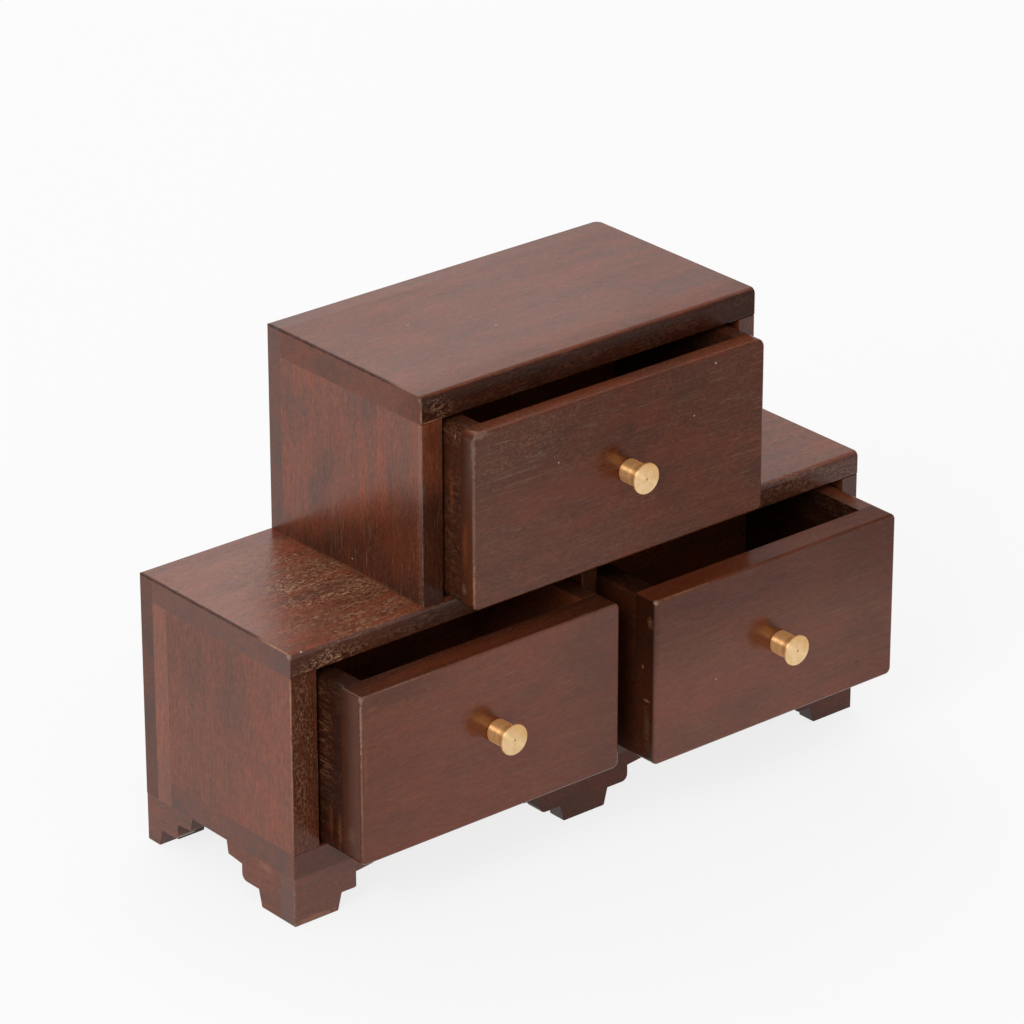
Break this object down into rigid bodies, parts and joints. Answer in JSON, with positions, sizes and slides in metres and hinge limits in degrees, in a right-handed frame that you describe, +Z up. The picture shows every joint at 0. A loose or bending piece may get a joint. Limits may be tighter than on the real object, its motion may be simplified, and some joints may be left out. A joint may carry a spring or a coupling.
{
  "type": "desktop drawer chest",
  "caption": "Small stepped wooden desktop chest with sliding drawers, turned brass knobs and stepped bracket feet, for crafts and small parts.",
  "frame": {"origin": "on the floor, at the middle of the width, in the plane of the case front, which is the front edge of the centre foot's underside", "axes": "+X to the right as seen from the front, +Y to the back, +Z up; the drawers pull out along -Y"},
  "size_m": [0.305, 0.1455, 0.2125],
  "materials": {
    "case_wood": "dark walnut stain, satin, worn at the edges",
    "front_wood": "dark walnut stain, satin, fine scratches",
    "drawer_wood": "red-brown stain, matt, saw marks",
    "panel_wood": "dark stain, matt",
    "knob_brass": "turned and lacquered, fine lathe rings",
    "screw_steel": "plain",
    "pin_steel": "dull"
  },
  "bodies": {
    "case": {"lower_top": "case_wood", "lower_floor": "case_wood", "lower_left_side": "case_wood", "lower_right_side": "case_wood", "lower_partition": "case_wood", "lower_back": "case_wood", "left_rear_post": "case_wood", "right_rear_post": "case_wood", "front_left_foot_face": "case_wood", "front_left_foot_side": "case_wood", "front_right_foot_face": "case_wood", "front_right_foot_side": "case_wood", "centre_foot": "case_wood", "rear_left_foot_side": "case_wood", "rear_left_foot_back": "case_wood", "rear_right_foot_side": "case_wood", "rear_right_foot_back": "case_wood", "upper_top": "case_wood", "upper_left_side": "case_wood", "upper_right_side": "case_wood", "upper_back": "case_wood", "lower_back_pins": "pin_steel", "upper_back_pins": "pin_steel"},
    "upper_drawer": {"upper_drawer_front": "front_wood", "upper_drawer_left_side": "drawer_wood", "upper_drawer_right_side": "drawer_wood", "upper_drawer_back": "drawer_wood", "upper_drawer_bottom": "panel_wood", "upper_drawer_knob": "knob_brass", "upper_drawer_knob_screw": "screw_steel"},
    "left_drawer": {"left_drawer_front": "front_wood", "left_drawer_left_side": "drawer_wood", "left_drawer_right_side": "drawer_wood", "left_drawer_back": "drawer_wood", "left_drawer_bottom": "panel_wood", "left_drawer_knob": "knob_brass", "left_drawer_knob_screw": "screw_steel"},
    "right_drawer": {"right_drawer_front": "front_wood", "right_drawer_left_side": "drawer_wood", "right_drawer_right_side": "drawer_wood", "right_drawer_back": "drawer_wood", "right_drawer_bottom": "panel_wood", "right_drawer_knob": "knob_brass", "right_drawer_knob_screw": "screw_steel"}
  },
  "joints": [
    {"name": "upper_drawer_slide", "type": "slide", "parent": "case", "child": "upper_drawer", "axis": [0, -1, 0], "range_m": [-0.0175, 0.0445]},
    {"name": "left_drawer_slide", "type": "slide", "parent": "case", "child": "left_drawer", "axis": [0, -1, 0], "range_m": [-0.0255, 0.0365]},
    {"name": "right_drawer_slide", "type": "slide", "parent": "case", "child": "right_drawer", "axis": [0, -1, 0], "range_m": [-0.0345, 0.0275]}
  ]
}
